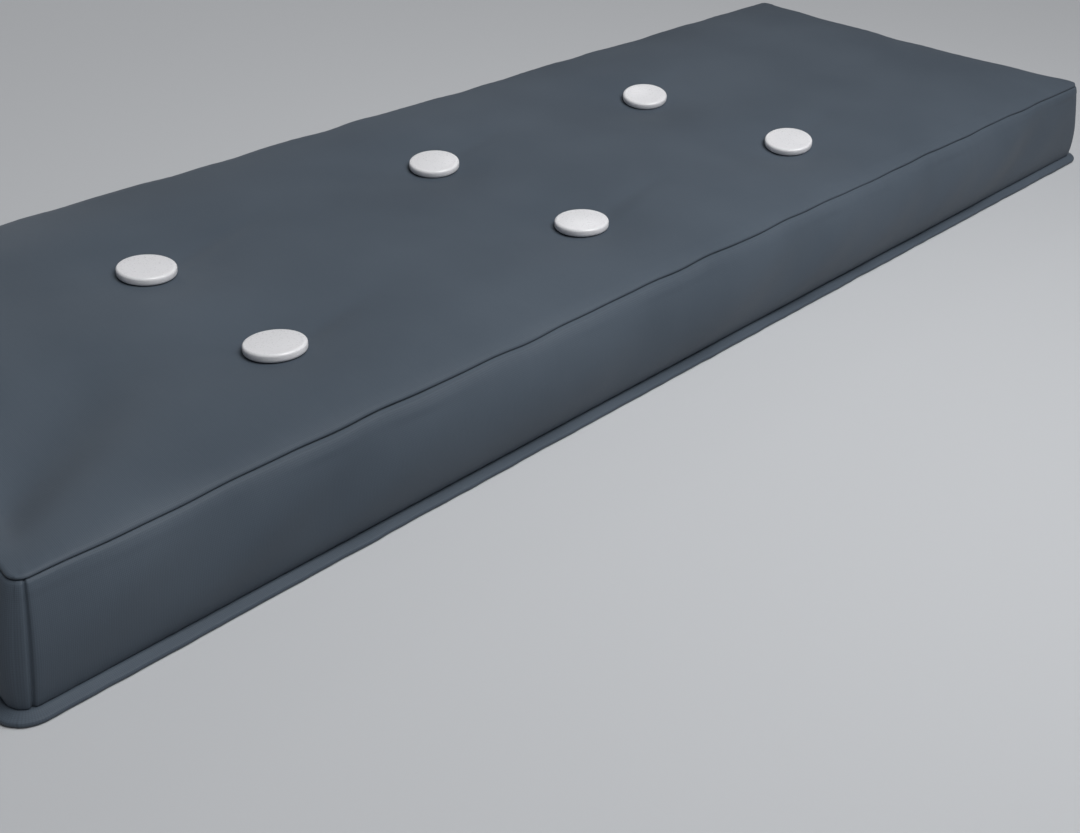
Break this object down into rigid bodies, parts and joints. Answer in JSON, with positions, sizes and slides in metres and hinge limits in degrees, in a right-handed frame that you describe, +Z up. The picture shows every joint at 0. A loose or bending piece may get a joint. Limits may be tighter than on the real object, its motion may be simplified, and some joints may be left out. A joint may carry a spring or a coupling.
{
  "type": "buttoned box cushion for a bench",
  "caption": "Long foam-filled box cushion with a crowned buttoned top, plain boxed sides and a raised flange round its foot.",
  "frame": {"origin": "middle of the level underside", "axes": "+X along the cushion's length, +Y towards its back edge, +Z up out of the buttoned top"},
  "size_m": [1.0842, 0.3734, 0.0837],
  "materials": {
    "cover_cloth": "tightly woven slate grey polyester cloth, soft sheen",
    "button_plastic": "moulded pale grey plastic, glossy"
  },
  "bodies": {
    "root": {"cushion": "cover_cloth", "bottom_flange": "cover_cloth", "button_back_left": "button_plastic", "button_back_middle": "button_plastic", "button_back_right": "button_plastic", "button_front_left": "button_plastic", "button_front_middle": "button_plastic", "button_front_right": "button_plastic"}
  },
  "joints": []
}
